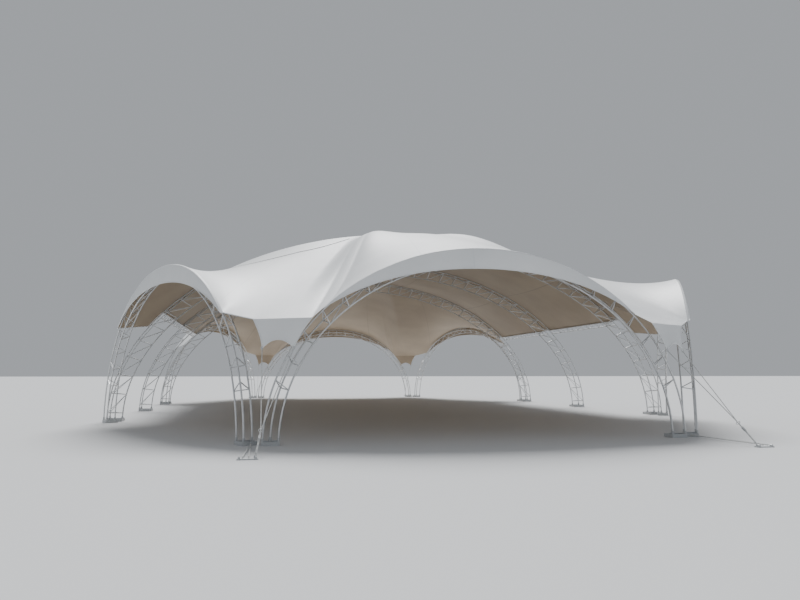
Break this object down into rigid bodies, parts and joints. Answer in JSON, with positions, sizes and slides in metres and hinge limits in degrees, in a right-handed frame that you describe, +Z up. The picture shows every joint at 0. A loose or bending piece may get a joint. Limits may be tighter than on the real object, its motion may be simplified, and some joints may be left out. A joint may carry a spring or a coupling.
{
  "type": "arch-frame stretch tent",
  "caption": "Long hexagonal event tent with white coated-fabric canopy over curved triangular trusses, crescent visors at the end arches and roped corner flaps.",
  "frame": {"origin": "centre of the plan on the ground", "axes": "+Z up, +Y along the hall from the front entrance to the rear one, +X to the right seen from the front"},
  "size_m": [20.7674, 37.29, 6.8003],
  "materials": {
    "cloth": "smooth coated fabric",
    "alloy": "mill finish tube",
    "steel": "zinc grey",
    "webbing": "woven strap"
  },
  "bodies": {
    "root": {"hall_arch_1_left": "alloy", "hall_arch_1_right": "alloy", "hall_arch_2_left": "alloy", "hall_arch_2_right": "alloy", "hall_arch_3_left": "alloy", "hall_arch_3_right": "alloy", "front_arch": "alloy", "front_visor": "cloth", "canopy_front_middle": "cloth", "front_left_arch": "alloy", "front_left_visor": "cloth", "front_right_arch": "alloy", "front_right_visor": "cloth", "rear_arch": "alloy", "rear_visor": "cloth", "canopy_rear_middle": "cloth", "rear_left_arch": "alloy", "rear_left_visor": "cloth", "rear_right_arch": "alloy", "rear_right_visor": "cloth", "canopy_front_left": "cloth", "canopy_front_right": "cloth", "canopy_rear_left": "cloth", "canopy_rear_right": "cloth", "roof_front_left": "cloth", "roof_front_right": "cloth", "roof_rear_left": "cloth", "roof_rear_right": "cloth", "corner_flap_front_left": "cloth", "corner_flap_front_right": "cloth", "corner_flap_rear_left": "cloth", "corner_flap_rear_right": "cloth", "guy_front_left": "webbing", "guy_front_right": "webbing", "guy_rear_left": "webbing", "guy_rear_right": "webbing", "anchor_front_left": "steel", "anchor_front_right": "steel", "anchor_rear_left": "steel", "anchor_rear_right": "steel", "foot_strap_front_left": "webbing", "foot_strap_front_right": "webbing", "foot_strap_rear_left": "webbing", "foot_strap_rear_right": "webbing", "eave_beam_front_left": "alloy", "eave_beam_front_right": "alloy", "eave_beam_rear_left": "alloy", "eave_beam_rear_right": "alloy"}
  },
  "joints": []
}
